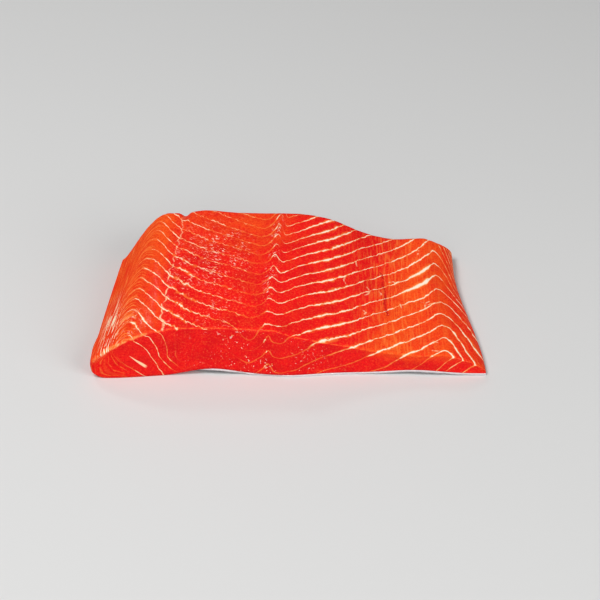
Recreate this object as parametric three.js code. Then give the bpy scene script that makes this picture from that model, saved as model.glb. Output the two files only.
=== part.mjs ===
// A raw, skin-on salmon fillet: one portion cut across a side of salmon, lying skin down.
// Millimetres, +Z up. X runs across the fish, from the thick loin at -X to the thin belly at +X.
// Y runs along the fish, and the two straight knife cuts face -Y (front) and +Y (back).
// The origin is on the surface that the fillet lies on, under the middle of its box.
import * as THREE from "three";
import { mergeVertices } from "three/addons/utils/BufferGeometryUtils.js";

const { clamp, lerp } = THREE.MathUtils;
const smooth = (t) => THREE.MathUtils.smoothstep(t, 0, 1);

// Driving dimensions. A pair holds the value at the front cut and the value at the back cut.
const WIDTH = 152.8; // across the fish, at the front cut
const LENGTH = 77.6; // along the fish, between the cuts
const LOIN_THICK = [21.7, 24.4];
const BELLY_THICK = [8.7, 10.8];
const EDGE_THICK = 1.2; // height at which the top surface reaches the two long edges
const SKIN_THICK = 0.8;
const SKIN_GAP = 0.3; // clearance between the flesh and the skin under it
const CUT_LEAN = 0.06; // how far the front cut leans in, for each millimetre of height
const CUT_ROUND = { reach: 1.1, drop: 0.4 }; // soft edge between the top and a cut

// Outline seen from above: both long edges draw in towards the back cut, and the corners are round.
const LEFT_TAPER = 8;
const RIGHT_TAPER = 8.1;
const CORNER = { frontLeft: 2, frontRight: 1.6, backLeft: 2.5, backRight: 1.5 };
const CORNER_SHARE = 0.75; // part of a corner's radius by which the edge draws in

// The cuts aren't quite straight. Each bulge is a bell: its place in X, its reach and its size.
const FRONT_BULGES = [
  { at: -71, reach: 22, by: 2.4 },
  { at: -1, reach: 14, by: 1.8 },
  { at: 66, reach: 22, by: 0.8 },
];
const BACK_BULGES = [
  { at: -33, reach: 9, by: 0.9 },
  { at: -5, reach: 20, by: 0.5 },
];

// The top: a level loin, a fall to the belly, and a slope down to each long edge.
const FALL_START = -5; // at the front cut the fall is a hollow curve, from here
const FALL_LENGTH = 66; // over this width
const FALL_MIDDLE = 25.6; // at the back cut it is an S about this place
const FALL_REACH = 13;
const LOIN_SLOPE = [34, 20]; // width of the slope to the loin's edge
const BELLY_SLOPE = [16, 12];
const SLOPE_DONE = 0.8; // share of the length over which the loin's slope changes form
// One power rounds a slope off where it meets the top, the other blunts it where it meets the edge.
const LOIN_ROUND = { top: [2, 1.8], edge: [0.6, 1.35] };
const BELLY_ROUND = { top: [1.3, 1.2], edge: [0.6, 0.35] };
// At the front the loin's edge is a blunt nose. It draws in, and its side face goes from its underside up to
// its tip, swells a little, and holds the slope above it down. It dies out over a share of the length.
const NOSE = { tip: 8, under: 2.2, reach: 4, inset: 1.5, swelling: 0.4, blunt: 0.25, share: 0.35 };
const CREST = { reach: 6, by: 0.9 }; // low ridge where the belly's slope begins

// Lines and swellings on the top.
const SEAM = { at: [-46.8, -42.8], reach: 1.9, by: -0.5 }; // groove between two muscles of the loin
const MIDLINE = { at: [-12, -9], reach: 8, by: -0.3 }; // hollow over the middle of the fish
const LOBE = { at: -33.5, reach: 6.2, by: 0.9, from: 18, over: 20 }; // swelling near the back cut
const NICK = { at: -41.4, reach: 1.5, by: -1.6, from: 31, over: 7 }; // notch in the back cut's top

// The front edge lifts off the surface in two shallow arches, which die out behind it.
const ARCHES = [
  { at: -28.5, reach: 10.5, by: 1.8 },
  { at: 50, reach: 14, by: 1.4 },
];
const ARCH_END = -12;
const ARCH_DEPTH = 25;

// The skin is trimmed short of the flesh along the loin's edge, and there the flesh droops past it.
const SKIN_LEFT_INSET = 3.6;
const SKIN_FRONT_INSET = { most: 3.2, until: -48, fade: 18 };
const LOWEST_FLESH = 0.1;
const DROOP_MARGIN = 1.2; // the flesh is back on top of the skin this far outside the skin's edge

// Grid over each piece: across the fish, along the fish, through the thickness.
const FLESH_GRID = [60, 26, 4];
const SKIN_GRID = [28, 12, 1];
const CROWD_ACROSS = 0.6; // how much the grid lines crowd towards the edges of the flesh
const CROWD_ALONG = 0.3;

const bell = (distance, reach) => Math.exp(-((distance / reach) ** 2));
const bulge = (x, { at, reach, by }) => by * bell(x - at, reach);
const sumOf = (bulges, x) => bulges.reduce((sum, one) => sum + bulge(x, one), 0);

// Place along the fish, from 0 at the front cut to 1 at the back cut.
const along = (y) => clamp(y / LENGTH + 0.5, 0, 1);
const between = ([front, back], t) => lerp(front, back, t);

const frontCut = (x) => -LENGTH / 2 + FRONT_BULGES[0].by - sumOf(FRONT_BULGES, x);
const backCut = (x) => LENGTH / 2 - BACK_BULGES[0].by + sumOf(BACK_BULGES, x);

// How far an edge draws in at a round corner, at a distance from the corner's end.
function cornerInset(distance, radius) {
  const t = clamp(1 - distance / radius, 0, 1);
  return CORNER_SHARE * radius * (1 - Math.sqrt(1 - t * t));
}

// How much of the nose is left at this place along the fish.
const noseShare = (y) => 1 - smooth(along(y) / NOSE.share);

function leftEdge(y) {
  const taper = LEFT_TAPER * along(y) ** 1.2;
  const front = cornerInset(y + LENGTH / 2, CORNER.frontLeft);
  const back = cornerInset(LENGTH / 2 - y, CORNER.backLeft);
  return -WIDTH / 2 + taper + NOSE.inset * noseShare(y) ** 2 + front + back;
}

function rightEdge(y) {
  const taper = RIGHT_TAPER * smooth((along(y) - 0.02) / 0.82);
  const front = cornerInset(y + LENGTH / 2, CORNER.frontRight);
  const back = cornerInset(LENGTH / 2 - y, CORNER.backRight);
  return WIDTH / 2 - taper - front - back;
}

function landmarks(x, y) {
  const t = along(y);
  const seam = bulge(x, { ...SEAM, at: between(SEAM.at, t) });
  const midline = bulge(x, { ...MIDLINE, at: between(MIDLINE.at, t) });
  const lobe = bulge(x, LOBE) * smooth((y - LOBE.from) / LOBE.over);
  const nick = bulge(x, NICK) * smooth((y - NICK.from) / NICK.over);
  return seam + midline + lobe + nick;
}

// Height of the top over the lying surface, before the slopes to the long edges.
function fullHeight(x, y) {
  const t = along(y);
  const loin = between(LOIN_THICK, smooth(t / 0.6));
  const belly = between(BELLY_THICK, t);
  const hollow = (1 - clamp((x - FALL_START) / FALL_LENGTH, 0, 1)) ** 2;
  const curved = 0.5 * (1 - Math.tanh((x - FALL_MIDDLE) / FALL_REACH));
  const crestPlace = rightEdge(y) - between(BELLY_SLOPE, t) - 1;
  const crest = bulge(x, { ...CREST, at: crestPlace });
  return lerp(belly, loin, lerp(hollow, curved, t)) + crest + landmarks(x, y);
}

// How far a slope has risen, from 0 at the edge to 1 where it meets the top.
function slope(fromEdge, width, { top, edge }, t, blunt = 0) {
  const share = clamp(fromEdge / between(width, t), 0, 1);
  return (1 - (1 - share) ** between(top, t)) ** (between(edge, t) + blunt);
}

// 1 on the nose's side face, falling to 0 behind it.
const atNose = (x, y) => noseShare(y) * clamp(1 - (x - leftEdge(y)) / NOSE.reach, 0, 1) ** 2;

function topHeight(x, y) {
  const t = along(y);
  const blunt = NOSE.blunt * noseShare(y);
  const left = slope(x - leftEdge(y), LOIN_SLOPE, LOIN_ROUND, smooth(t / SLOPE_DONE), blunt);
  const right = slope(rightEdge(y) - x, BELLY_SLOPE, BELLY_ROUND, t);
  const edge = x < 0 ? lerp(EDGE_THICK, NOSE.tip, noseShare(y)) : EDGE_THICK;
  return lerp(edge, fullHeight(x, y), left * right);
}

const lift = (x, y) => sumOf(ARCHES, x) * smooth((ARCH_END - y) / ARCH_DEPTH);

// How far the skin stays behind the front cut: only at the loin, where the flesh droops over it.
function skinFrontInset(x) {
  const { most, until, fade } = SKIN_FRONT_INSET;
  return most * (1 - smooth((x - until) / fade));
}

function fleshUnderside(x, y) {
  const onSkin = SKIN_THICK + SKIN_GAP;
  const inset = skinFrontInset(x);
  const pastLeft = smooth((x - leftEdge(y) - 0.4) / (SKIN_LEFT_INSET - DROOP_MARGIN));
  const pastFront = smooth((y - frontCut(x) - 0.2) / Math.max(inset - 0.1, 0.3));
  const overFront = (1 - pastFront) * (inset / SKIN_FRONT_INSET.most) ** 2;
  const droop = Math.max(1 - pastLeft, overFront);
  return lerp(onSkin, LOWEST_FLESH, droop) + NOSE.under * atNose(x, y) + lift(x, y);
}

// Moves a 0..1 grid coordinate towards the nearer end, where the form turns fastest.
const crowd = (u, share) => u - (share * Math.sin(2 * Math.PI * u)) / (2 * Math.PI);

// A closed box grid whose every vertex is carried to its place by place(u, v, w), each from 0 to 1.
function formedBox([across, lengthwise, through], place) {
  const box = new THREE.BoxGeometry(1, 1, 1, across, lengthwise, through);
  box.deleteAttribute("normal");
  box.deleteAttribute("uv");
  const shape = mergeVertices(box, 1e-5);
  const position = shape.getAttribute("position");
  for (let i = 0; i < position.count; i++) {
    const at = place(position.getX(i) + 0.5, position.getY(i) + 0.5, position.getZ(i) + 0.5);
    position.setXYZ(i, at.x, at.y, at.z);
  }
  shape.computeVertexNormals();
  return shape;
}

function placeFlesh(u, v, w) {
  const sideways = crowd(u, CROWD_ACROSS);
  const lengthwise = crowd(v, CROWD_ALONG);
  // The cuts' lines depend on X and the long edges on Y, so X is guessed first.
  const roughX = lerp(-WIDTH / 2, WIDTH / 2, sideways);
  const y = lerp(frontCut(roughX), backCut(roughX), lengthwise);
  const x = lerp(leftEdge(y), rightEdge(y), sideways);
  const toCut = Math.min(y - frontCut(roughX), backCut(roughX) - y);
  const sharpTop = topHeight(x, y);
  const softness = clamp(1 - toCut / CUT_ROUND.reach, 0, 1) ** 2;
  const top = sharpTop - CUT_ROUND.drop * softness * Math.min(1, sharpTop / BELLY_THICK[0]);
  const z = lerp(fleshUnderside(x, y), top, w);
  const lean = CUT_LEAN * z * (1 - lengthwise);
  const swelling = NOSE.swelling * atNose(x, y) * Math.sin(Math.PI * w);
  return new THREE.Vector3(x - swelling, y + lean, z);
}

function placeSkin(u, v, w) {
  const roughX = lerp(-WIDTH / 2, WIDTH / 2, u);
  const y = lerp(frontCut(roughX) + skinFrontInset(roughX), backCut(roughX), v);
  const x = lerp(leftEdge(y) + SKIN_LEFT_INSET, rightEdge(y), u);
  return new THREE.Vector3(x, y, lift(x, y) + SKIN_THICK * w);
}

function makeFlesh() {
  const material = new THREE.MeshStandardMaterial({ color: 0xe8351f, roughness: 0.3, metalness: 0 });
  const mesh = new THREE.Mesh(formedBox(FLESH_GRID, placeFlesh), material);
  mesh.name = "flesh";
  return mesh;
}

function makeSkin() {
  const material = new THREE.MeshStandardMaterial({ color: 0x9aa3a8, roughness: 0.35, metalness: 0.3 });
  const mesh = new THREE.Mesh(formedBox(SKIN_GRID, placeSkin), material);
  mesh.name = "skin";
  return mesh;
}

const fillet = new THREE.Group();
fillet.name = "salmon_fillet";
fillet.add(makeFlesh(), makeSkin());

// The round corners leave the box a little off centre, so it is centred over the origin.
const centre = new THREE.Box3().setFromObject(fillet).getCenter(new THREE.Vector3());
for (const piece of fillet.children) piece.geometry.translate(-centre.x, -centre.y, 0);

export default fillet;
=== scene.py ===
"""A raw, skin-on salmon fillet, lying skin down.

The form is worked out in millimetres in the part's frame: X runs across the fish from the thick loin to the
thin belly, Y along the fish from the front cut to the back cut, Z up. Meshes are put down in metres.
"""
import math

import bmesh
import bpy
import numpy as np
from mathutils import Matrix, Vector, noise


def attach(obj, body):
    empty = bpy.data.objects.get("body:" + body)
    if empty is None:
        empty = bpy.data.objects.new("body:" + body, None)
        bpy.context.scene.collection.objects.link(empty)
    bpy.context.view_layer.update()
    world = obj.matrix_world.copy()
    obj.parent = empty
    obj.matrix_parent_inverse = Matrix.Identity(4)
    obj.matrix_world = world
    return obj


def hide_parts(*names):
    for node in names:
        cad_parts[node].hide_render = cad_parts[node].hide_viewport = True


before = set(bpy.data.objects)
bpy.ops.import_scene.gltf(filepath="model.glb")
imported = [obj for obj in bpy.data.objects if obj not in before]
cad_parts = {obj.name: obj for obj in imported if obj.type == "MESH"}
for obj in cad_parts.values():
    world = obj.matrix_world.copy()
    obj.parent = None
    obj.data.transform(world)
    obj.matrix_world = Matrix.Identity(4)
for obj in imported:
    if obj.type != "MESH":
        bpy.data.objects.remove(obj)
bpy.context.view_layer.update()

MM = 0.001

# ------------------------------------------------------------------ the form's sizes, in millimetres
# A pair holds the value at the front cut and at the back cut. A share is a share of the fillet's length.
WIDTH = 152.8  # across the fish at the front cut, before the corners are rounded
OFF_CENTRE = -0.57  # from the form's own X to the frame's, whose origin is the middle of the box
LENGTH = 77.6  # along the fish
LOIN_THICK, LOIN_FULL_SHARE = (21.7, 24.4), 0.6
BELLY_THICK = (8.7, 10.8)
EDGE_THICK = 1.2
SKIN_THICK = 0.8
CUT_LEAN = 0.06  # of the front cut, backwards for each millimetre up
LEFT_TAPER, LEFT_TAPER_POWER = 8.0, 1.2
RIGHT_TAPER, RIGHT_TAPER_SHARES = 8.1, (0.02, 0.84)
CORNER_FRONT_LEFT, CORNER_FRONT_RIGHT = 2.0, 1.6
CORNER_BACK_LEFT, CORNER_BACK_RIGHT = 2.5, 1.5
CORNER_DEPTH = 0.75  # of its radius
FRONT_BULGES = ((-71, 22, 2.4), (-1, 14, 1.8), (66, 22, 0.8))  # place in X, reach, size
BACK_BULGES = ((-33, 9, 0.9), (-5, 20, 0.5))
ARCHES = ((-28.5, 10.5, 1.8), (50, 14, 1.4))  # where the front edge lifts off the surface
ARCH_START, ARCH_FULL = -12, -37  # in Y
FALL_START, FALL_LENGTH = -5, 66  # from the loin down to the belly, at the front
FALL_MIDDLE, FALL_REACH = 25.6, 13  # and at the back
LOIN_SLOPE, BELLY_SLOPE = (34, 20), (16, 12)
SLOPE_SHARE = 0.8  # from where on the loin's slope is as at the back cut
LOIN_ROUND = ((2, 1.8), (0.6, 1.35))  # powers that round a slope off at the top and blunt it at the edge
BELLY_ROUND = ((1.3, 1.2), (0.6, 0.35))
CREST_HIGH, CREST_INSIDE, CREST_REACH = 0.9, 1, 6  # before the belly's slope
GROOVE_DEEP, GROOVE_REACH = 0.5, 1.6  # between the loin's two muscles
MIDLINE_AT, MIDLINE_DEEP, MIDLINE_REACH = (-12, -9), 0.3, 8
LOBE_AND_NICK = ((-33.5, 6.2, 18, 38, 0.9), (-41.4, 1.5, 31, 38, -1.6))  # soft stripes, at the back edge
NOSE_TIP, NOSE_UNDER, NOSE_REACH, NOSE_SHARE = 8.0, 2.2, 4.0, 0.35  # the loin's blunt front end
NOSE_INSET, NOSE_SWELLING, NOSE_BLUNT = 1.5, 0.4, 0.25
SKIN_LEFT_INSET = 3.6  # the skin stops this far inside the flesh's left edge
SKIN_FRONT_INSET, INSET_FULL, INSET_NONE = 3.2, -48, -30  # in front of the loin, fading out along X
DROOP_LEFT, DROOP_FRONT = 0.4, 0.2  # inside the flesh's edges, where it starts to rise onto the skin
DROOP_CLEAR, SKIN_CLEAR = 0.04, 0.05  # gaps to the surface and to the skin

# ------------------------------------------------------------------ the tissue sheets' sizes
# The sheets of white tissue between the muscle segments fold into a W across the fish.
# One sheet is followed across: place in X, place in Y, step to the next sheet, and how the steps fan out.
FOLD = np.array((
    (-66, 25.5, 7.1, 0), (-61, 19.5, 7.1, 0), (-58, 14.5, 7.1, 0), (-55, 8.3, 7.1, 0), (-52, 4.2, 7.25, 0),
    (-49.5, 0.7, 7.3, 0), (-47, -3.6, 7.0, 0), (-44.5, -6.2, 6.9, 0), (-40, -10.4, 6.95, 0),
    (-33, -15.4, 6.85, 0), (-24, -19.2, 6.7, 0), (-18, -21.4, 6.7, 0.04), (-15, -23.0, 6.5, 0.02),
    (-12, -23.3, 6.3, 0.01), (-9, -21.7, 6.4, -0.02), (-7, -18.8, 6.5, -0.02), (-5, -19.9, 6.3, 0),
    (-3.6, -20.4, 6.45, 0.06), (0, -18.5, 6.5, 0.06), (4, -15.2, 6.6, 0.10), (8, -12.5, 6.4, 0.07),
    (12.5, -10.0, 6.35, 0.04), (16, -8.2, 6.4, 0.03), (20, -5.3, 6.6, 0.03), (25, -0.8, 6.95, 0.03),
    (30, 4.4, 7.25, 0.02), (35, 8.7, 7.4, 0.02), (40, 12.4, 7.5, 0.02), (45, 16.0, 7.55, 0),
    (50, 19.6, 7.75, -0.01), (55, 23.3, 8.3, -0.09), (57, 26.0, 8.5, -0.09), (59.5, 30.0, 8.55, -0.06),
    (62, 28.0, 8.0, -0.04), (65, 23.8, 6.55, 0.19), (69, 18.7, 5.7, 0.43), (73, 12.6, 5.7, 0.48),
    (76, 8.5, 5.7, 0.48),
)).T
FOLD_SOFT = 1.5  # how far the fold's turns are rounded off
CHEVRONS_AT, CHEVRONS_REACH, CHEVRONS_SHARP = -5.5, 5, 0.8  # the share of the rounding that they go without
BELLY_TURN, BELLY_TURN_REACH, BELLY_TURN_SHARP = 60, 9, 0.75
BELLY_TURN_FROM = (-8, 6)  # in Y
PEAK_AT, PEAK_REACH, PEAK_BEND = -6.8, 2.0, 0.06  # of the chevrons: their peaks bend more along the fish
CHEVRON_TURN, COLUMN_TURN, TURN_FROM, TURN_REACH = 0.08, 0.065, -19, 12  # their drift in X along the fish
# Bends away from FOLD, as soft stripes and soft patches of a shift along the fish
BEND_STRIPES = ((BELLY_TURN, 5, 2, 12, 1.4), (-2.5, 3.2, 6, -6, -1.0))
BEND_PATCHES = (
    (3, 6, 36, 7, 1.3), (1, 12, 2, 9, -0.7), (3, 14, -37, 9, -1.3), (-14.6, 4.8, -38, 4.5, -5.2),
)
LOIN_BENDS = ((-56, 8, -37, 9, -2.8),)
DEPTH_BENDS = ((-7.1, 1.0, 0, 2, 1.3), (-14.6, 4.8, 5, 13, 2.6), (1, 16, 0, 5, -2.0))  # rise with depth
EDGE_CURL, CURL_AT, CURL_FROM = 0.2, 61, (-6, 14)  # the sheets curl forward at the belly's edge
BELLY_FROM = (28, 46)  # in X: between these two the belly's way of folding takes over
SHEET_LEAN = (1.0, 0.19)  # along the fish for each millimetre of depth, away from the belly and in it
BELLY_LEAN = 0.9  # how fast the belly's fold moves across with depth
RIDGE_AT, RIDGE_TURN, RIDGE_FROM, RIDGE_BEND = -59.5, 0.16, -12, 5  # where the loin's sheets arch over
RIDGE_SOFT, RIDGE_DROP = 1.1, 0.18
CONE_CENTRE = (-58.4, 9.0)  # in X and Z: in the loin the sheets are nested cones about this axis
CONE_TILT = math.radians(36.7)
CONE_STRETCH = (1.55, 2.06)  # of the rings' upper and lower halves, along the axis
CONE_LOWER = 0.27  # how much nearer the rings are on the axis's lower side
CONE_TOP, CONE_STEP = 19.6, 7.1
CONE_INNER, CONE_SPACING = 5.05, 2.45  # reach of the innermost ring, and from ring to ring
CONE_POINT = 0.65  # how blunt the innermost cone is
CONE_FROM, CONE_DEPTH = (-33, -41), (0, 2.2)  # in X and in depth: between these the cones take over
CROWD_FROM = (-53, -61)  # in X: between these the rings begin to crowd in towards the skin
CONE_OUTER = 1.3  # rings between the innermost one and the skin
RING_WIDTH, RING_ABOVE, RING_BELOW, RING_DEEP = 0.92, 0.052, 0.034, 0.07  # and how it grows off the axis
# A dash of white at the rings' heart: where each end starts and is full, and half its thickness
DASH_AT = (-57.2, 7.1)  # in X and Z
DASH_TILT = math.radians(41.3)
DASH_UPPER, DASH_LOWER = (-4.6, -3.5), (4.4, 3.0)
DASH_HALF_THICK, DASH_THICK_FROM = (0.06, 0.55), 2.4  # thin at the upper end, and thick from this far on
# Along the groove between the loin's two muscles, in X and Y
SEAM_PATH = np.array((
    (-46.5, -36), (-47.9, -28), (-47.4, -21.7), (-46.3, -12.7), (-46.2, -4.1), (-44.8, 2.5), (-44.4, 9.4),
    (-43.6, 13.9), (-43.0, 20.2), (-42.3, 26.7), (-42.8, 30), (-42.4, 39),
)).T
# Small loose threads of white tissue, each a bent line on the top, in X and Y
THREADS = (
    ((31.5, 1.2), (32.6, -0.6), (32.0, -3.0), (30.6, -4.4)), ((36.2, 0.4), (37.4, -1.2), (36.6, -2.8)),
    ((29.6, -13.6), (30.8, -14.6), (30.0, -15.8)), ((22.8, 3.2), (22.3, 1.2), (23.0, -0.6)),
    ((53.0, 26.4), (53.8, 29.6)), ((52.6, -4.0), (54.2, -5.6), (56.0, -4.4)), ((54.2, -5.6), (54.4, -9.0)),
    ((55.4, -6.4), (58.6, -5.4), (60.4, -3.8)), ((44.5, -6.0), (45.3, -9.5)), ((27.4, 15.8), (27.9, 12.6)),
    ((56.2, -28.8), (58.0, -29.6)), ((55.6, -34.4), (58.2, -34.8)), ((40.6, 7.4), (42.4, 8.2), (43.4, 6.4)),
)
WEDGES = ((-1, 58.4, 12, 4.5, 1.3), (-2, 57.0, 13, 1.4, 1.4))  # sheet, end in X, length, taper, thickness
# A split where the fibres part, painted deep red as the shade inside it, in X and Y
CRACK = ((37.6, 13.0), (38.4, 8.5), (38.0, 4.5), (38.8, -1.0), (38.4, -7.0), (39.2, -14.0))

# ------------------------------------------------------------------ where the marks are strong
# A border is a pair of places between which one region passes into the next.
RIM_BORDER = (0, 0.8)  # in depth, from the top to the cuts
SLOPE_BORDER = (-5.5, 3.5)  # from the ridge line, on to the loin's outer slope
SEAM_BORDER, FOLD_BORDER = (-45, -49), (60, 63)  # in X, past the loin's seam and past the belly's last turn
TROUGH_AT, TROUGH_REACH, TROUGH_BORDER = 3.8, 2.2, (12, 4)  # beside the column of chevrons, and in Y
SPILL_LEFT, SPILL_RIGHT, SPILL_BORDER = (4, 14), (52, 44), (5.5, 0.5)  # in X, and in depth
BACK_BORDERS = (-6, 28), (20, -5)  # of the orange towards the back, in Y and in X
WARM_BELLY, WARM_SLOPE, WARM_BACK, WARM_LOIN = 0.72, 0.70, 0.39, 0.5
# Bands have a place in X, a reach and a size. Stripes and patches are as in soft_stripes and soft_patches.
WARM_STRIPES = ((-14, 6, -30, -10, 0.12),)
FAT_BANDS = ((17, 7, 0.56), (52, 10, 0.26))
FAT_STRIPES = ((35, 8, -24, -16, -0.1), (-41, 6, 14, -2, 0.45))
FAT_PATCHES = ((-57, 5, -29, 5, 0.5),)
FAINT_STRIPES = ((-19, 7, -34, -22, 0.45), (-30, 8, -24, -10, 0.3))
FAINT_PATCHES = ((-64, 5, -36, 5, 0.5),)
PALE_BANDS = ((1, 6, -0.4), (-19, 9, -0.55))
PALE_PATCHES = ((-57, 7, -30, 7, 0.35), (40, 8, 2, 14, -0.25))
PALE_ON_CUT = ((-52, 6, 0.7), (64, 6, 0.3))
# where the flecks of fat gather on the top; they partly stand in as painted glints
SPECK_PATCHES = ((-25, 7, 8, 18, 1.1), (-26, 6, -29, 9, 0.8), (-40, 5, -6, 26, 0.5), (-59, 6, -29, 6, 0.9))


# ------------------------------------------------------------------ small helpers
def clamp01(t):
    return np.clip(t, 0.0, 1.0)


def smooth(t):
    t = clamp01(t)
    return t * t * (3 - 2 * t)


def rise(t, start, full):
    """A smooth rise from 0 at start to 1 at full, whichever of the two is larger."""
    return smooth((t - start) / (full - start))


def lerp(a, b, t):
    return a + (b - a) * t


def bell(distance, reach):
    return np.exp(-((distance / reach) ** 2))


def bands(rows, x):
    return sum(size * bell(x - at, reach) for at, reach, size in rows)


def soft_stripes(rows, x, y):
    """Stripes at a place in X with a reach, which rise from a start in Y to their full size."""
    return sum(size * bell(x - at, reach) * rise(y, start, full) for at, reach, start, full, size in rows)


def soft_patches(rows, x, y):
    """Patches with a place and a reach in X, a place and a reach in Y, and a size."""
    total = 0
    for at_x, reach_x, at_y, reach_y, size in rows:
        total = total + size * bell(x - at_x, reach_x) * bell(y - at_y, reach_y)
    return total


def wobble(x, y, size, seed=0.0):
    """Smooth noise of about -1..1, with lumps of that size in millimetres."""
    return np.array([noise.noise(Vector((a / size, b / size, seed))) for a, b in zip(x, y)])


def distance_to(path, x, y):
    """Distance in millimetres to a bent line."""
    nearest = np.full_like(x, 1e3)
    for (ax, ay), (bx, by) in zip(path, path[1:]):
        dx, dy = bx - ax, by - ay
        t = clamp01(((x - ax) * dx + (y - ay) * dy) / (dx * dx + dy * dy))
        nearest = np.minimum(nearest, np.hypot(x - ax - t * dx, y - ay - t * dy))
    return nearest


# ------------------------------------------------------------------ the fillet's form
def along(y):
    """Share of the length, from 0 at the front cut to 1 at the back cut."""
    return clamp01(y / LENGTH + 0.5)


def front_cut(x):
    return -LENGTH / 2 + FRONT_BULGES[0][2] - bands(FRONT_BULGES, x)


def back_cut(x):
    return LENGTH / 2 - BACK_BULGES[0][2] + bands(BACK_BULGES, x)


def corner_inset(distance, radius):
    t = clamp01(1 - distance / radius)
    return CORNER_DEPTH * radius * (1 - np.sqrt(1 - t * t))


def nose_share(y):
    return 1 - rise(along(y), 0, NOSE_SHARE)


def left_edge(y):
    front = corner_inset(y + LENGTH / 2, CORNER_FRONT_LEFT)
    back = corner_inset(LENGTH / 2 - y, CORNER_BACK_LEFT)
    taper = LEFT_TAPER * along(y) ** LEFT_TAPER_POWER
    return -WIDTH / 2 + taper + NOSE_INSET * nose_share(y) ** 2 + front + back


def right_edge(y):
    front = corner_inset(y + LENGTH / 2, CORNER_FRONT_RIGHT)
    back = corner_inset(LENGTH / 2 - y, CORNER_BACK_RIGHT)
    return WIDTH / 2 - RIGHT_TAPER * rise(along(y), *RIGHT_TAPER_SHARES) - front - back


def seam_line(y):
    """X of the groove between the two muscles of the loin."""
    return np.interp(y, SEAM_PATH[1], SEAM_PATH[0]) + 0.35 * np.sin(y / 1.1) + 0.25 * np.sin(y / 0.63 + 1)


def landmarks(x, y):
    groove = -GROOVE_DEEP * bell(x - seam_line(y), GROOVE_REACH)
    midline = -MIDLINE_DEEP * bell(x - lerp(*MIDLINE_AT, along(y)), MIDLINE_REACH)
    return groove + midline + soft_stripes(LOBE_AND_NICK, x, y)


def full_height(x, y):
    """Height of the top where neither outer slope has begun."""
    t = along(y)
    loin = lerp(*LOIN_THICK, rise(t, 0, LOIN_FULL_SHARE))
    belly = lerp(*BELLY_THICK, t)
    hollow = (1 - clamp01((x - FALL_START) / FALL_LENGTH)) ** 2
    curved = 0.5 * (1 - np.tanh((x - FALL_MIDDLE) / FALL_REACH))
    crest_at = right_edge(y) - lerp(*BELLY_SLOPE, t) - CREST_INSIDE
    crest = CREST_HIGH * bell(x - crest_at, CREST_REACH)
    return lerp(belly, loin, lerp(hollow, curved, t)) + crest + landmarks(x, y)


def slope(from_edge, width, rounding, t, blunt=0.0):
    """How far a slope has risen, from 0 at the edge to 1 where it meets the top."""
    share = clamp01(from_edge / lerp(*width, t))
    return (1 - (1 - share) ** lerp(*rounding[0], t)) ** (lerp(*rounding[1], t) + blunt)


def at_nose(x, y):
    """1 on the nose's side face, falling to 0 behind it."""
    return nose_share(y) * clamp01(1 - (x - left_edge(y)) / NOSE_REACH) ** 2


def top_height(x, y):
    t = along(y)
    blunt = NOSE_BLUNT * nose_share(y)
    left = slope(x - left_edge(y), LOIN_SLOPE, LOIN_ROUND, rise(t, 0, SLOPE_SHARE), blunt)
    right = slope(right_edge(y) - x, BELLY_SLOPE, BELLY_ROUND, t)
    edge = lerp(EDGE_THICK, NOSE_TIP, nose_share(y) * (x < 0))
    return lerp(edge, full_height(x, y), left * right)


def lift(x, y):
    return bands(ARCHES, x) * rise(y, ARCH_START, ARCH_FULL)


def skin_front_inset(x):
    return SKIN_FRONT_INSET * rise(x, INSET_NONE, INSET_FULL)


def flesh_underside(x, y):
    """The flesh lies on the skin, and droops past its edge at the loin."""
    inset = skin_front_inset(x)
    on_skin = rise(x - left_edge(y), DROOP_LEFT, SKIN_LEFT_INSET - 2 * DROOP_LEFT)
    behind_front = rise(y - front_cut(x), DROOP_FRONT, np.maximum(inset + 0.1, 0.5))
    droop = np.maximum(1 - on_skin, (1 - behind_front) * (inset / SKIN_FRONT_INSET) ** 2)
    return lerp(SKIN_THICK + SKIN_CLEAR, DROOP_CLEAR, droop) + NOSE_UNDER * at_nose(x, y) + lift(x, y)


# ------------------------------------------------------------------ the tissue sheets
def fold(x, y, row):
    """A row of FOLD at x, rounded off a little, except at the sharp chevrons over the middle of the fish."""
    x = x - CHEVRON_TURN * (y - TURN_FROM) * bell(x - CHEVRONS_AT, TURN_REACH)
    chevrons = 1 - CHEVRONS_SHARP * bell(x - CHEVRONS_AT, CHEVRONS_REACH)
    belly = 1 - BELLY_TURN_SHARP * rise(y, *BELLY_TURN_FROM) * bell(x - BELLY_TURN, BELLY_TURN_REACH)
    rounding = FOLD_SOFT * chevrons * belly
    steps = (-1, -1 / 3, 1 / 3, 1)
    return sum(np.interp(x + s * rounding, FOLD[0], FOLD[row]) for s in steps) / len(steps)


def past(t, soft):
    """t where it is positive, softly turning to 0 where it isn't."""
    return soft * np.logaddexp(0, t / soft)


def ridge_line(y):
    """X of the line where the loin's sheets arch over."""
    return RIDGE_AT + RIDGE_TURN * past(y - RIDGE_FROM, RIDGE_BEND)


def bend(x, y, outside):
    """How far along the fish the sheets bend away from FOLD."""
    turned = y - TURN_FROM
    peaks = PEAK_BEND * turned * bell(x - CHEVRON_TURN * turned - PEAK_AT, PEAK_REACH)
    curl = EDGE_CURL * np.maximum(x - CURL_AT, 0) ** 2 * rise(y, *CURL_FROM)
    drop = RIDGE_DROP * past(ridge_line(y) - outside, RIDGE_SOFT) ** 2
    bends = soft_stripes(BEND_STRIPES, x, y) + soft_patches(BEND_PATCHES, x, y)
    return peaks + bends + soft_patches(LOIN_BENDS, outside, y) - curl - drop


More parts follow.
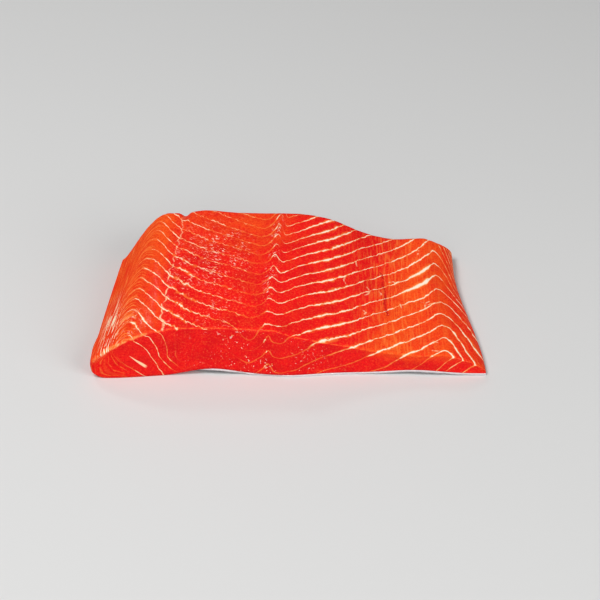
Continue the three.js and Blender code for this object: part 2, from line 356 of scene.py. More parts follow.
def segment(x, y, depth, z):
    """Which muscle segment a point is in: a whole number lies on a white sheet."""
    ridge = ridge_line(y)
    outside = x
    x = ridge + past(x - ridge, RIDGE_SOFT)
    belly = rise(x, *BELLY_FROM)
    leaned = x + BELLY_LEAN * belly * depth
    reach = fold(leaned, y, 1) + bend(x, y, outside) + soft_stripes(DEPTH_BENDS, x, depth)
    reach = reach + depth * lerp(*SHEET_LEAN, belly)
    step, fan = fold(leaned, y, 2), fold(leaned, y, 3)
    in_loin = rise(outside, *CONE_FROM) * rise(depth, *CONE_DEPTH)
    reach = lerp(reach, loin_cone(outside, y, depth, z), in_loin)
    step = lerp(step, CONE_STEP, in_loin)
    gap = y - reach
    return 2 * gap / (step + np.sqrt(np.maximum(step ** 2 - 4 * fan * gap, 1.0)))


def cone_out(x, z):
    """How far out a point of the loin's cross-section is from the axis of the nested cones."""
    across, up = x - CONE_CENTRE[0], z - CONE_CENTRE[1]
    major = across * math.cos(CONE_TILT) - up * math.sin(CONE_TILT)
    minor = across * math.sin(CONE_TILT) + up * math.cos(CONE_TILT)
    minor = minor * (1 + CONE_LOWER * rise(minor, 0, -3))
    stretch = lerp(*CONE_STRETCH, rise(major, -2, 2))
    width = RING_WIDTH + RING_ABOVE * np.clip(up, 0, 12)
    width = width + RING_BELOW * np.clip(-up - 2, 0, 10) + RING_DEEP * np.clip(-up - 5.5, 0, 4)
    return np.hypot(major / stretch, minor) / width


def loin_cone(x, y, depth, z):
    """How far along the fish one of the loin's nested cones reaches at a point of its cross-section."""
    out = cone_out(x, z)
    inner = 1 + CONE_POINT * (out / CONE_INNER - 1)
    beyond = np.maximum(out - CONE_INNER, 0)
    # towards the outside of the fish the rings crowd in between the innermost one and the skin
    walls = (0.7 * depth, z - 0.1, x - left_edge(y))
    to_wall = sum(np.maximum(wall, 0.05) ** -2.0 for wall in walls) ** -0.5
    crowded = 1 + CONE_OUTER * beyond / (beyond + to_wall)
    spread = 1 - 0.12 * bell(beyond - 3, 2.5) * rise(z, 8, 14)
    outer = lerp(1 + spread * beyond / CONE_SPACING, crowded, rise(x, *CROWD_FROM))
    return CONE_TOP - CONE_STEP * np.where(beyond > 0, outer, inner)


# ------------------------------------------------------------------ the flesh's marks
class Surface:
    """The places of the flesh's vertices, and how far each lies in the regions that its marks keep to."""

    def __init__(self, x, y, z, depth, v, from_front):
        self.x, self.y, self.z, self.depth = x, y, z, depth
        self.from_front = from_front
        self.number = segment(x, y, depth, z)
        self.front_face = v < 0.001
        self.end_face = self.front_face | (v > 0.999)
        self.on_cut = rise(depth, *RIM_BORDER)
        self.on_top = 1 - self.on_cut
        self.past_ridge = ridge_line(y) - x  # towards the loin's edge
        self.loin_slope = rise(self.past_ridge, *SLOPE_BORDER)
        self.past_seam = rise(x, *SEAM_BORDER)
        self.past_fold = rise(x, *FOLD_BORDER)
        self.column = x - PEAK_AT - COLUMN_TURN * (y - TURN_FROM)  # of chevrons: X from its middle
        self.trough = bell(self.column - TROUGH_AT, TROUGH_REACH) * rise(y, *TROUGH_BORDER) * self.on_top
        # where the sheets' white runs over the rim on to the cut
        self.spill = rise(x, *SPILL_LEFT) * rise(x, *SPILL_RIGHT) * rise(depth, *SPILL_BORDER)


def sheet_pitch(s):
    """Distance from one sheet to the next across the surface, in millimetres."""
    d = 0.2
    by_x = (segment(s.x + d, s.y, s.depth, s.z) - s.number) / d
    by_y = (segment(s.x, s.y + d, s.depth, s.z) - s.number) / d
    by_z = (segment(s.x, s.y, s.depth + d, s.z - d) - s.number) / d
    upright = s.end_face & (s.depth > 0.3)
    steep = np.where(upright, np.hypot(by_x, by_z), np.hypot(by_x, by_y))
    return 1 / np.maximum(steep, 0.08)


def warmth(s):
    """Orange instead of red: on the belly, on the loin's slope and towards the back."""
    start = lerp(16, 34, along(s.y))
    belly = rise(s.x, start, start + 24) * (1 - 0.5 * rise(s.x, 61, 66) - 0.2 * bell(s.x - 56, 5))
    back = WARM_BACK * rise(s.y, *BACK_BORDERS[0]) * rise(s.x, *BACK_BORDERS[1])
    loin = WARM_LOIN * rise(s.x, -44, -50)
    redder = lerp(0.85, 0.8 * rise(s.depth, 0, 5), belly) * s.on_cut
    warm = np.maximum.reduce([WARM_BELLY * belly, WARM_SLOPE * s.loin_slope, back + loin]) * (1 - redder)
    clouds = 0.2 * wobble(s.x, s.y, 9.0, 11.0) + 0.12 * wobble(1.6 * s.x, s.y, 4.0, 12.0)
    return clamp01(warm + (soft_stripes(WARM_STRIPES, s.x, s.y) + clouds) * s.on_top)


def fatness(s):
    """How wide the white sheets show."""
    fat = 0.42 + bands(FAT_BANDS, s.x) + soft_stripes(FAT_STRIPES, s.x, s.y)
    fat = fat + soft_patches(FAT_PATCHES, s.x, s.y) - 0.14 * s.past_seam
    fat = fat + 0.45 * bell(s.y + 37, 9) * rise(s.x, 4, 12) * rise(s.x, 54, 46)
    fat = fat + s.past_fold * (0.30 * rise(s.y, -10, -20) - 0.18 * rise(s.y, -4, 8))
    fat = fat + 0.16 * s.trough - 0.13 * bell(s.column - 6, 8) * s.on_top
    fat = fat * (1 + 0.22 * wobble(s.x, s.y, 5.5, 31.0))
    return lerp(fat, 0.27 + 0.3 * s.spill, s.on_cut)


def strength(s):
    """How strong the white sheets show."""
    faint = soft_stripes(FAINT_STRIPES, s.x, s.y) + soft_patches(FAINT_PATCHES, s.x, s.y)
    faint = faint + 0.75 * rise(s.past_ridge, 1, 7) + 0.25 * s.past_seam * rise(s.y, 4, 18)
    faint = faint + 0.35 * s.past_fold * rise(s.y, 2, 14)
    faint = faint + 0.7 * rise(s.past_ridge, -1, 2) * rise(s.y, -20, -28) * s.on_top
    # on both sides of the chevrons
    left = rise(s.column, -0.4, -1.4) * rise(s.column, -11, -7) * s.on_top
    faint = faint + left * lerp(0.42, 0.1, rise(s.y, 6, 14))
    faint = faint + bell(s.column - 2.0, 2.2) * rise(s.y, 8, 12)
    # on the cut
    under_strip = 0.9 * bell(s.x + 21, 4.5) * rise(s.depth, 7, 4)
    third_sheet = 0.8 * bell(s.number + 3, 0.5) * rise(s.x, -8.4, -9.4)
    faint = faint + s.on_cut * (under_strip + third_sheet + 0.35 * bell(s.x - 1, 7))
    start = -47.5 + 3 * rise(s.depth, 8, 12)
    plain = s.on_cut * rise(s.x, start, start + 4) * rise(s.x, -15, -20)
    return clamp01((1 - 0.93 * plain) * (1 - faint))


def paleness(s):
    """How white the sheets show, from orange to white."""
    pale = 0.95 + bands(PALE_BANDS, s.x) + soft_patches(PALE_PATCHES, s.x, s.y) - 0.5 * s.loin_slope
    pale = pale - 0.25 * s.past_seam * rise(s.y, -18, -2) - 0.6 * s.past_fold * rise(s.y, -2, 10)
    on_cut = 0.14 + bands(PALE_ON_CUT, s.x) + 0.6 * s.spill
    return clamp01(lerp(pale + 0.5 * s.trough, on_cut, s.on_cut))


def speckling(s):
    """Where flecks of fat lie, which on the top are partly painted glints."""
    column = 0.9 * bell(s.column + 0.5, 1.6) * rise(s.y, -24, -14)
    on_cut = 0.35 * bell(s.x + 10, 26)
    return clamp01((soft_patches(SPECK_PATCHES, s.x, s.y) + column) * s.on_top + on_cut * s.on_cut)


def streaking(s):
    """Where fine streaks lie: on both outer slopes, and outside the innermost ring on the cut."""
    slopes = np.maximum(s.loin_slope, 0.2 * rise(s.x, 65, 69))
    outer_rings = rise(cone_out(s.x, s.z), CONE_INNER, CONE_INNER + 0.5) * rise(s.x, -60, -63)
    return lerp(slopes, 0.5 * outer_rings, s.on_cut)


def wedges(s):
    """Places where one sheet thickens towards its end."""
    total = 0
    for sheet, end, length, taper, thick in WEDGES:
        run = s.x - end
        shape = clamp01(1 + run / length) * (1 - smooth(1 + run / taper))
        total = total + thick * shape * bell(s.number - sheet, 0.45)
    return total


def store_marks(mesh, s):
    """What the flesh's material needs to know of each place."""
    threads = np.minimum.reduce([distance_to(thread, s.x, s.y) for thread in THREADS])
    torn = s.x + 0.5 * wobble(s.x, s.y, 1.5, 41.0)
    behind_rim = np.where(s.depth < 0.01, s.from_front, 20)
    marks = {
        "segment": s.number,
        "pitch": sheet_pitch(s),
        "warm": warmth(s),
        "column": s.column,
        "fat": fatness(s),
        "wedge": wedges(s) * s.on_top,
        "line": strength(s),
        "pale": paleness(s),
        "ragged": rise(s.x, -50, -42) * rise(s.x, -4, -16) * s.on_top,  # between the seam and the chevrons
        "speckle": speckling(s),
        "fibre": clamp01(0.04 + 0.96 * bell(s.x - 43, 15)) * s.on_top,
        "edgewise": rise(s.past_ridge, 3, 8) * s.on_top,
        "streak": streaking(s),
        # painted highlights: streaks of light on the front of the loin's slope
        "painted_highlight": clamp01(1.3 * bell(s.x + 68.0, 3.0)) * rise(s.y, 8, -24) * s.on_top,
        "cut": s.on_cut,
        # distance from the front cut's rim, which places the painted highlight along it
        "edge": np.where(s.front_face, s.depth, behind_rim),
        # these are distances, which grow on the cuts so that the marks stay on the top
        "seam": s.x - seam_line(s.y) + 30 * s.on_cut,
        "thread": threads + 9 * s.on_cut,
        "crack": distance_to(CRACK, torn, s.y) + 9 * s.on_cut,
    }
    for name, values in marks.items():
        store(mesh, name, values)


# ------------------------------------------------------------------ meshes
FLESH_GRID = (256, 130, 22)
SKIN_GRID = (300, 150, 2)
CROWDING = 0.2  # how much closer the flesh's grid is towards its edges
SEGMENT_RELIEF = 0.13  # how far a segment swells between its two sheets
UNEVEN, UNEVEN_SIZE = 0.22, 9.0  # slow unevenness of the top
RIM_DROP, RIM_REACH = 0.4, 1.1  # the softened rims of the cuts
RIPPLE, RIPPLE_SIZE, RIPPLE_REACH = 0.25, 6.0, 1.5  # of the cuts' faces
SKIN_RAGGED, SKIN_RAGGED_SIZE = 0.22, 4.0  # where the knife went through the skin
SKIN_RIM = (0.004, 0.01)  # the skin's pale rim, as shares of the width and of the length


def crowd(u):
    return u - CROWDING * np.sin(2 * np.pi * u) / (2 * np.pi)


def box_grid(cuts):
    """A unit cube in bmesh, cut into that many cells along X, Y and Z."""
    bm = bmesh.new()
    bmesh.ops.create_cube(bm, size=1.0)
    for axis, cells in enumerate(cuts):
        if cells < 2:
            continue
        edges = [e for e in bm.edges if abs((e.verts[1].co - e.verts[0].co)[axis]) > 0.5]
        bmesh.ops.subdivide_edges(bm, edges=edges, cuts=cells - 1, use_grid_fill=True)
    return bm


def new_piece(name, bm):
    mesh = bpy.data.meshes.new(name)
    bm.to_mesh(mesh)
    bm.free()
    piece = bpy.data.objects.new(name, mesh)
    bpy.context.scene.collection.objects.link(piece)
    return piece


def grid_places(mesh):
    """Each vertex's place in its unit cube, from 0 to 1 along X, Y and Z."""
    co = np.zeros(len(mesh.vertices) * 3)
    mesh.vertices.foreach_get("co", co)
    return (co.reshape(-1, 3) + 0.5).T


def put_down(mesh, x, y, z):
    """Moves the vertices to the form's places in millimetres."""
    co = np.stack([x + OFF_CENTRE, y, z], 1) * MM
    mesh.vertices.foreach_set("co", np.ascontiguousarray(co).ravel())
    mesh.update()


def store(mesh, name, values):
    """Keeps one number for each vertex under that name."""
    layer = mesh.attributes.new(name, "FLOAT", "POINT")
    layer.data.foreach_set("value", np.ascontiguousarray(values, dtype=np.float32))


def top_relief(x, y, top, to_cut):
    """The segments' swelling, a slow unevenness, and the softened rims of the cuts."""
    slow = wobble(x, y, UNEVEN_SIZE) * UNEVEN + wobble(x, y, 3.5, 7.0) * 0.3 * UNEVEN
    number = segment(x, y, 0 * x, top)
    swelling = SEGMENT_RELIEF * (np.abs(np.sin(np.pi * number)) ** 0.7 - 0.6)
    free = clamp01((top - EDGE_THICK) / 4)
    rim = RIM_DROP * clamp01(1 - to_cut / RIM_REACH) ** 2 * np.minimum(1, top / BELLY_THICK[0])
    return (slow + swelling) * free - rim


def cut_ripple(x, z, v, w, to_cut):
    """How far the cuts' faces stand out and in."""
    ripple = RIPPLE * wobble(x, z * 1.3, RIPPLE_SIZE, 3.0) + 0.12 * wobble(x, z, 2.2, 5.0)
    return ripple * bell(to_cut, RIPPLE_REACH) * clamp01(w * (1 - w) * 6) * np.where(v < 0.5, 1, -1)


def make_flesh():
    piece = new_piece("salmon_flesh", box_grid(FLESH_GRID))
    u, v, w = grid_places(piece.data)
    rough_x = lerp(-WIDTH / 2, WIDTH / 2, crowd(u))
    front, back = front_cut(rough_x), back_cut(rough_x)
    y = lerp(front, back, crowd(v))
    x = lerp(left_edge(y), right_edge(y), crowd(u))
    top, low = top_height(x, y), flesh_underside(x, y)
    to_cut = np.minimum(y - front, back - y)
    z = lerp(low, top + top_relief(x, y, top, to_cut), w)
    lean = CUT_LEAN * z * (1 - crowd(v))
    swollen = NOSE_SWELLING * at_nose(x, y) * np.sin(np.pi * w)
    put_down(piece.data, x - swollen, y + lean + cut_ripple(x, z, v, w, to_cut), z)
    store_marks(piece.data, Surface(x, y, z, (1 - w) * (top - low), v, y - front))
    return piece


def make_skin():
    piece = new_piece("salmon_skin", box_grid(SKIN_GRID))
    u, v, w = grid_places(piece.data)
    rough_x = lerp(-WIDTH / 2, WIDTH / 2, u)
    y = lerp(front_cut(rough_x) + skin_front_inset(rough_x), back_cut(rough_x), v)
    x = lerp(left_edge(y) + SKIN_LEFT_INSET, right_edge(y), u)
    ragged = SKIN_RAGGED * wobble(x, y, SKIN_RAGGED_SIZE, 21.0) + 0.12 * wobble(x, y, 1.3, 22.0)
    across, lengthwise = SKIN_RIM
    at_front, at_back = bell(v, lengthwise), bell(1 - v, lengthwise)
    put_down(piece.data, x, y + ragged * (at_front - at_back), lift(x, y) + SKIN_THICK * w)
    rim = np.maximum.reduce([bell(u, across), bell(1 - u, across), at_front, at_back])
    store(piece.data, "rim", clamp01(rim + (w > 0.4)))
    return piece


# ------------------------------------------------------------------ colours
RED = (0.86, 0.010, 0.011, 1)
DEEP_RED = (0.64, 0.005, 0.010, 1)
ORANGE = (0.93, 0.085, 0.011, 1)
LINE_ORANGE = (1.0, 0.24, 0.045, 1)
AMBER = (1.0, 0.43, 0.13, 1)
CREAM = (1.0, 0.69, 0.40, 1)
WHITE = (1.0, 0.84, 0.70, 1)
# the colour of the painted highlights on the loin's slope
WET_LIGHT = (1.0, 0.90, 0.62, 1)
SILVER, SILVER_EDGE = (0.60, 0.63, 0.66, 1), (0.36, 0.40, 0.44, 1)  # a scale and its edge
DARK, DARK_EDGE = (0.07, 0.09, 0.11, 1), (0.03, 0.04, 0.05, 1)
SPOT = (0.012, 0.014, 0.018, 1)
LILAC, PINK = (0.62, 0.60, 0.66, 1), (0.85, 0.78, 0.76, 1)
FLOOR_GREY = (0.66, 0.66, 0.655, 1)


# ------------------------------------------------------------------ materials
class Nodes:
    """Short names for making and linking the nodes of one material."""

    def __init__(self, name):
        self.material = bpy.data.materials.new(name)
        self.material.use_nodes = True
        self.tree = self.material.node_tree
        self.tree.nodes.clear()

    def locate(self):
        self.place = self.add("TexCoord").outputs["Object"]
        split = self.add("SeparateXYZ", Vector=self.place)
        self.x, self.y, self.z = (split.outputs[k] for k in "XYZ")

    def add(self, kind, settings=None, **inputs):
        node = self.tree.nodes.new("ShaderNode" + kind)
        for key, value in (settings or {}).items():
            setattr(node, key, value)
        for key, value in inputs.items():
            self.put(node, key.replace("_", " "), value)
        return node

    def put(self, node, key, value):
        socket = node.inputs[int(key)] if key.isdigit() else node.inputs[key]
        if isinstance(value, bpy.types.NodeSocket):
            self.tree.links.new(value, socket)
        else:
            socket.default_value = value

    def value(self, name):
        return self.add("Attribute", {"attribute_name": name}).outputs["Fac"]

    def math(self, operation, *items):
        node = self.add("Math", {"operation": operation})
        for i, item in enumerate(items):
            self.put(node, str(i), item)
        return node.outputs[0]

    def plus(self, a, b):
        return self.math("ADD", a, b)

    def minus(self, a, b):
        return self.math("SUBTRACT", a, b)

    def times(self, *factors):
        result = factors[0]
        for factor in factors[1:]:
            result = self.math("MULTIPLY", result, factor)
        return result

    def times_plus(self, a, b, c):
        return self.math("MULTIPLY_ADD", a, b, c)

    def from_zero(self, a):
        return self.math("ABSOLUTE", a)

    def off_half(self, a):
        """How far the fraction of a is from a half."""
        return self.from_zero(self.minus(self.math("FRACT", a), 0.5))

    def ramp(self, value, low, high, to_low=0.0, to_high=1.0):
        """A smooth step of value from low to high."""
        node = self.add("MapRange", {"interpolation_type": "SMOOTHSTEP"})
        for i, item in enumerate((value, low, high, to_low, to_high)):
            self.put(node, str(i), item)
        return node.outputs[0]

    def blend(self, share, a, b):
        """A mix of two numbers."""
        node = self.add("Mix", Factor=share)
        self.put(node, "2", a)
        self.put(node, "3", b)
        return node.outputs[0]

    def mix(self, share, a, b):
        """A mix of two colours."""
        node = self.add("Mix", {"data_type": "RGBA"})
        for key, item in (("0", share), ("6", a), ("7", b)):
            self.put(node, key, item)
        return node.outputs[2]

    def noise(self, vector, scale, detail=2.0, roughness=0.5):
        node = self.add("TexNoise", Scale=scale, Detail=detail, Roughness=roughness, Vector=vector)
        return node.outputs["Fac"]

    def stretched(self, x, y, z, scale, detail=2.0):
        vector = self.add("CombineXYZ", X=x, Y=y, Z=z).outputs[0]
        return self.noise(vector, scale, detail)

    def bump(self, height):
        return self.add("Bump", Strength=0.8, Distance=0.001, Height=height).outputs[0]

    def finish(self, shader, **settings):
        """Sets the shader's plain values and makes it the surface."""
        for key, value in settings.items():
            shader.inputs[key.replace("_", " ")].default_value = value
        self.add("OutputMaterial", Surface=shader.outputs[0])
        return self.material


class FleshNodes(Nodes):
    """The flesh's nodes, with the values that several of its marks share."""

    def __init__(self):
        super().__init__("wet_salmon_flesh")
        self.locate()
        self.ragged, self.streak, self.cut = self.value("ragged"), self.value("streak"), self.value("cut")
        self.patches = self.noise(self.place, 420, 3, 0.6)
        self.grain = self.noise(self.place, 1500, 3, 0.65)
        self.fibres = self.stretched(self.x, self.times(self.y, 0.08), self.z, 1350, 3)
        self.slow = self.minus(self.noise(self.place, 260, 2), 0.5)
        self.number = self.wandering_number()

    def on_cut(self, on_top, on_cut):
        """One value on the top and another on the cuts."""
        return self.ramp(self.cut, 0.0, 1.0, on_top, on_cut)

    def wandering_number(self):
        """The segment's number, shifted a little to and fro so that the sheets' lines wander."""
        comb = self.stretched(self.x, self.times(self.y, 0.16), self.z, 900, 2)
        quick = self.times(self.minus(comb, 0.5), self.times_plus(self.ragged, 0.22, 0.15))
        shift = self.plus(self.times(self.slow, 0.26), quick)
        return self.plus(self.value("segment"), self.times(shift, self.on_cut(1.0, 0.35)))


def plain_flesh(n):
    """The flesh between the sheets."""
    cloud = n.ramp(n.noise(n.place, 110, 3), 0.38, 0.7, 0.0, 0.5)
    warm = n.plus(n.value("warm"), n.times(n.minus(n.patches, 0.5), 0.5))
    light_grain = n.times(n.ramp(n.grain, 0.5, 0.72), n.on_cut(0.26, 0.20))
    dark_grain = n.times(n.ramp(n.grain, 0.48, 0.32), 0.6)
    fibres = n.times(n.value("fibre"), n.ramp(n.fibres, 0.46, 0.66), 0.5)
    colour = n.mix(cloud, RED, DEEP_RED)
    colour = n.mix(n.ramp(warm, 0.0, 1.0), colour, ORANGE)
    colour = n.mix(light_grain, colour, LINE_ORANGE)
    colour = n.mix(dark_grain, colour, DEEP_RED)
    return n.mix(fibres, colour, LINE_ORANGE)


def slope_streaks(n, colour):
    """Fine streaks of the outer slopes, and the mask of the painted highlights that lie among them."""
    edgewise = n.value("edgewise")
    # four thin lines to each segment
    quarter = n.plus(n.times(n.number, 4.0), n.times(n.slow, n.on_cut(0.5, 0.1)))
    thin = n.ramp(n.off_half(quarter), n.on_cut(0.22, 0.15), 0.03)
    thin = n.times(thin, n.streak, n.ramp(n.patches, 0.33, 0.55), n.minus(1.0, edgewise))
    # near the ridge the streaks follow the sheets, and farther out the fillet's edge
    with_sheets = n.stretched(n.times(n.number, 0.003), n.times(n.y, 0.08), 0.0, 1900, 3)
    turned = n.times_plus(n.z, 0.2, n.times_plus(n.y, -0.13, n.x))
    with_edge = n.stretched(turned, n.times(n.y, 0.04), 0.0, 2100, 2)
    streaks = n.blend(edgewise, with_sheets, with_edge)
    colour = n.mix(thin, colour, LINE_ORANGE)
    colour = n.mix(n.times(n.streak, n.ramp(streaks, 0.50, 0.40), 0.6), colour, RED)
    colour = n.mix(n.times(n.streak, n.ramp(streaks, 0.55, 0.66), 0.55), colour, LINE_ORANGE)
    colour = n.mix(n.times(n.streak, n.ramp(streaks, 0.62, 0.70), 0.5), colour, AMBER)
    # painted highlights: pale streaks of light on the front of the loin's slope, in place of glints
    gleam = n.times(n.value("painted_highlight"), n.ramp(streaks, 0.535, 0.57), n.ramp(n.patches, 0.36, 0.42))
    return colour, gleam


def white_sheets(n, colour):
    """The sheets of white tissue, and how much of one shows at each place."""
    column, wedge, line = n.value("column"), n.value("wedge"), n.value("line")
    # bright peaks of the chevrons, and the faint lines left of them
    peak = n.ramp(n.from_zero(n.plus(column, 0.2)), 1.0, 0.3)
    peak = n.times(peak, n.ramp(n.noise(n.place, 800, 2), 0.36, 0.55), n.ramp(n.y, 18 * MM, 0.0, 0.25, 1.0))
    beside = n.ramp(n.from_zero(n.plus(column, 5.4)), 5.2, 3.6)

    uneven = n.ramp(n.noise(n.place, 330, 3, 0.6), 0.3, 0.7, 0.4, 1.35)
    width = n.plus(n.times(n.times_plus(peak, 0.35, n.value("fat")), uneven, 0.55), wedge)
    distance = n.times(n.off_half(n.plus(n.number, 0.5)), n.value("pitch"))
    share = n.math("DIVIDE", distance, width)
    unbroken = n.ramp(n.times_plus(n.ragged, -0.12, n.patches), 0.30, 0.42)
    unbroken = n.math("MAXIMUM", unbroken, wedge)
    halo = n.times(n.ramp(share, 2.5, 0.5), line)
    core = n.times(n.ramp(share, 1.05, 0.35), line, unbroken)
    heart = n.times(n.ramp(share, 0.7, 0.15), line, unbroken)
    white = n.plus(n.plus(n.minus(n.value("pale"), n.times(beside, 0.6)), peak), wedge)
    white = n.ramp(n.times(white, uneven), 0.0, 1.0)

    colour = n.mix(n.times(halo, 0.6), colour, LINE_ORANGE)
    colour = n.mix(n.times(core, n.ramp(white, 0.0, 0.4)), colour, AMBER)
    colour = n.mix(n.times(core, n.ramp(white, 0.2, 0.9)), colour, CREAM)
    return n.mix(n.times(heart, white, white), colour, WHITE), core


def loin_seam(n, colour):
    """The pale groove between the two muscles of the loin."""
    wide = n.ramp(n.y, -24 * MM, -34 * MM, 0.36, 0.8)
    off = n.from_zero(n.plus(n.value("seam"), n.times(n.slow, 1.6)))
    seam = n.ramp(off, wide, n.times(wide, 0.3))
    seam = n.times(seam, n.ramp(n.patches, 0.38, 0.58), n.ramp(n.y, 12 * MM, -12 * MM, 0.45, 0.85))
    return n.mix(seam, colour, CREAM)


def cut_rim(n, colour):
    """A painted highlight along the rounded rim of the front cut."""
    loin = n.ramp(n.x, -40 * MM, -62 * MM)
    # the painted highlight is widest and strongest at the loin, and weaker towards the belly
    rim = n.ramp(n.value("edge"), n.times_plus(loin, 0.6, 0.36), 0.05)
    rim = n.times(rim, n.ramp(n.patches, 0.34, 0.6), n.times_plus(loin, 0.35, 0.45))
    rim = n.times(rim, n.ramp(n.x, 12 * MM, 34 * MM, 1.0, 0.35), n.ramp(n.x, -74 * MM, -66 * MM, 0.55, 1.0))
    amber = n.times(loin, n.ramp(n.grain, 0.4, 0.6))
    return n.mix(rim, colour, n.mix(amber, LINE_ORANGE, AMBER))


def loin_dash(n, colour):
    """A short streak of white at the heart of the front cut's rings, pointed at its upper end."""
    right, up = n.plus(n.x, -DASH_AT[0] * MM), n.minus(n.z, DASH_AT[1] * MM)
    cos, sin = math.cos(DASH_TILT), math.sin(DASH_TILT)
    endways = n.minus(n.times(right, cos), n.times(up, sin))
    across = n.plus(n.times(right, sin), n.times(up, cos))
    thin, thick = DASH_HALF_THICK
    half = n.ramp(endways, DASH_UPPER[0] * MM, DASH_THICK_FROM * MM, thin * MM, thick * MM)
    ends = n.times(*(n.ramp(endways, start * MM, full * MM) for start, full in (DASH_UPPER, DASH_LOWER)))
    dash = n.times(ends, n.ramp(n.math("DIVIDE", n.from_zero(across), half), 1.3, 0.6))
    return n.mix(n.times(dash, n.cut, n.ramp(n.y, 0.0, -10 * MM)), colour, CREAM)


def fat_flecks(n, colour):
    """Short strokes and flecks of fat, drawn out along the sheets on the top and round on the cuts. The
    white flecks on the top are partly painted glints.
    """
    speckle = n.value("speckle")
    dotted = n.ramp(speckle, 0.0, 0.5)
    drawn = n.stretched(n.times(n.x, 0.5), n.times(n.number, 0.0060), 0.0, 1350, 3)
    strokes = n.times(n.ramp(drawn, 0.48, 0.60), n.ramp(n.grain, 0.42, 0.56), n.ragged, 0.12)
    clusters = n.ramp(n.noise(n.place, 150, 2), 0.43, 0.57)
    # flecks on the top: fat, and partly painted glints
    flecks = n.times(n.ramp(drawn, 0.55, 0.62), speckle, n.ramp(n.patches, 0.42, 0.52), clusters)
    flecks = n.times(flecks, n.ramp(n.cut, 1.0, 0.0))
    dots = n.times(n.ramp(n.times_plus(n.cut, -0.04, n.grain), 0.62, 0.67), n.ramp(n.patches, 0.44, 0.54))
    dots = n.times(dots, dotted, n.times_plus(clusters, 0.8, 0.2))
    blots = n.times(n.ramp(n.noise(n.place, 1000, 1), 0.655, 0.70), n.cut, dotted, clusters, 0.85)
    flecks = n.math("MAXIMUM", n.math("MAXIMUM", flecks, dots), blots)
    fat = n.mix(n.ramp(n.noise(n.place, 900, 2), 0.38, 0.52), AMBER, WHITE)
    return n.mix(flecks, n.mix(strokes, colour, LINE_ORANGE), fat), flecks


def threads_and_crack(n, colour):
    """Loose threads, and a split where the fibres part, painted deep red as the shade inside it."""
    thread = n.times(n.ramp(n.value("thread"), 0.45, 0.1), n.ramp(n.patches, 0.4, 0.55), 0.7)
    # painted shade inside the split
    crack = n.times(n.ramp(n.value("crack"), 0.9, 0.2), n.ramp(n.patches, 0.36, 0.48))
    crack = n.times(crack, n.ramp(n.grain, 0.3, 0.5), 0.9)
    return n.mix(crack, n.mix(thread, colour, CREAM), DEEP_RED), crack


def flesh_material():
    n = FleshNodes()
    colour, gleam = slope_streaks(n, plain_flesh(n))
    colour, core = white_sheets(n, colour)
    colour = loin_dash(n, cut_rim(n, loin_seam(n, colour)))
    colour, flecks = fat_flecks(n, colour)
    # the slope's painted highlights are mixed in here
    colour, crack = threads_and_crack(n, n.mix(gleam, colour, WET_LIGHT))

    height = n.plus(n.times(core, 0.06), n.times(n.fibres, n.value("fibre"), 0.10))
    height = n.plus(height, n.times(n.noise(n.place, 700, 4, 0.6), 0.16))
    height = n.minus(n.plus(height, n.times(flecks, 0.06)), n.times(crack, 0.25))
    normal = n.bump(height)
    shader = n.add("BsdfPrincipled", Base_Color=colour, Normal=normal, Coat_Normal=normal)
    n.put(shader, "Roughness", n.ramp(n.grain, 0.35, 0.7, 0.30, 0.42))
    n.put(shader, "Coat Weight", n.ramp(n.streak, 0.0, 0.8, 0.2, 0.02))
    return n.finish(shader, IOR=1.33, Specular_IOR_Level=0.0, Coat_IOR=1.33, Coat_Roughness=0.08)


def skin_material():
    n = Nodes("wet_salmon_skin")
    n.locate()
    # scales in slanting rows, so their cells are turned by 45 degrees
    rows = n.add("CombineXYZ", X=n.plus(n.x, n.y), Y=n.minus(n.x, n.y), Z=0.0).outputs[0]
    cells = n.add("TexVoronoi", {"feature": "DISTANCE_TO_EDGE"}, Scale=260.0, Randomness=0.38, Vector=rows)
    inside = cells.outputs["Distance"]
    edges = n.ramp(inside, 0.14, 0.03)
    dark = n.ramp(n.plus(n.x, n.times(n.noise(n.place, 60, 3), 30 * MM)), 20 * MM, -45 * MM)
    spots = n.times(n.ramp(n.noise(n.place, 120, 1), 0.66, 0.70), dark)
    colour = n.mix(dark, n.mix(edges, SILVER, SILVER_EDGE), n.mix(edges, DARK, DARK_EDGE))
    colour = n.mix(spots, colour, SPOT)
    colour = n.mix(n.value("rim"), colour, n.mix(n.noise(n.place, 500, 3), LILAC, PINK))
    normal = n.bump(n.times(n.ramp(inside, 0.0, 0.3), 0.1))
    shader = n.add("BsdfPrincipled", Base_Color=colour, Normal=normal)
    return n.finish(shader, Roughness=0.3, Metallic=0.15, Coat_Weight=0.4, Coat_Roughness=0.12)


def floor_material():
    n = Nodes("pale_floor")
    shader = n.add("BsdfPrincipled")
    return n.finish(shader, Base_Color=FLOOR_GREY, Roughness=0.6, Specular_IOR_Level=0.2)


# ------------------------------------------------------------------ floor, lights and camera
FLOOR_SIZE = 3.0  # metres
CAMERA_OVER = (4.47, 10.9)  # the camera looks at this point of the floor, in millimetres
CAMERA_BACK, CAMERA_HIGH = 598.5, 451.0
CAMERA_LENS, CAMERA_SENSOR = 111.16, 36.0
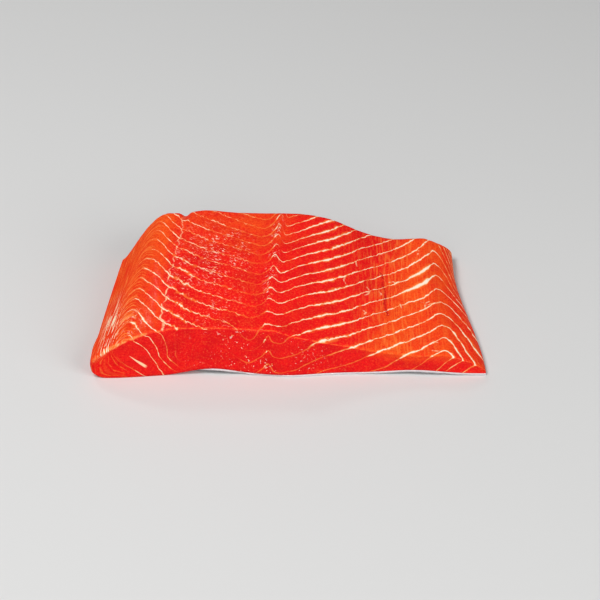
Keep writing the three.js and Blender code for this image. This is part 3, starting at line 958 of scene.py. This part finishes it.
# Square soft lights aimed at the fillet: place and width in metres, and watts
LIGHTS = {
    "key": ((-0.5, -0.3, 1.1), 0.5, 10.7),
    "fill": ((0.9, -0.7, 0.6), 0.8, 8.2),
    "front": ((-0.3, -1.1, 0.5), 0.8, 2.8),
    "glint": ((-0.55, 0.75, 0.75), 0.15, 1.35),
}
SURROUNDINGS = 0.115


def make_floor():
    bm = bmesh.new()
    bmesh.ops.create_grid(bm, x_segments=1, y_segments=1, size=FLOOR_SIZE)
    floor = new_piece("floor", bm)
    floor.data.materials.append(floor_material())


def aim(item, target):
    item.rotation_euler = (target - item.location).to_track_quat("-Z", "Y").to_euler()


def make_camera():
    camera = bpy.data.objects.new("camera", bpy.data.cameras.new("camera"))
    bpy.context.scene.collection.objects.link(camera)
    camera.data.sensor_width = CAMERA_SENSOR
    camera.data.lens = CAMERA_LENS
    camera.data.clip_start, camera.data.clip_end = 0.01, 10.0
    target = Vector((*CAMERA_OVER, 0)) * MM
    camera.location = target + Vector((0, -CAMERA_BACK, CAMERA_HIGH)) * MM
    aim(camera, target)
    bpy.context.scene.camera = camera


def make_light(name, place, width, watts):
    light = bpy.data.objects.new(name, bpy.data.lights.new(name, "AREA"))
    bpy.context.scene.collection.objects.link(light)
    light.data.shape = "SQUARE"
    light.data.size = width
    light.data.energy = watts
    light.location = place
    aim(light, Vector((0, 0, 0)))


def make_studio():
    for name, settings in LIGHTS.items():
        make_light(name, *settings)
    world = bpy.data.worlds.new("studio")
    world.use_nodes = True
    background = world.node_tree.nodes["Background"]
    background.inputs["Color"].default_value = (1.0, 1.0, 1.0, 1)
    background.inputs["Strength"].default_value = SURROUNDINGS
    bpy.context.scene.world = world
    bpy.context.scene.view_settings.view_transform = "Standard"


# ------------------------------------------------------------------ put together
make_camera()
make_studio()
make_floor()

flesh = make_flesh()
flesh.data.materials.append(flesh_material())
skin = make_skin()
skin.data.materials.append(skin_material())
for piece, node in ((flesh, "flesh"), (skin, "skin")):
    piece.data.shade_smooth()
    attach(piece, "root")
    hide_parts(node)
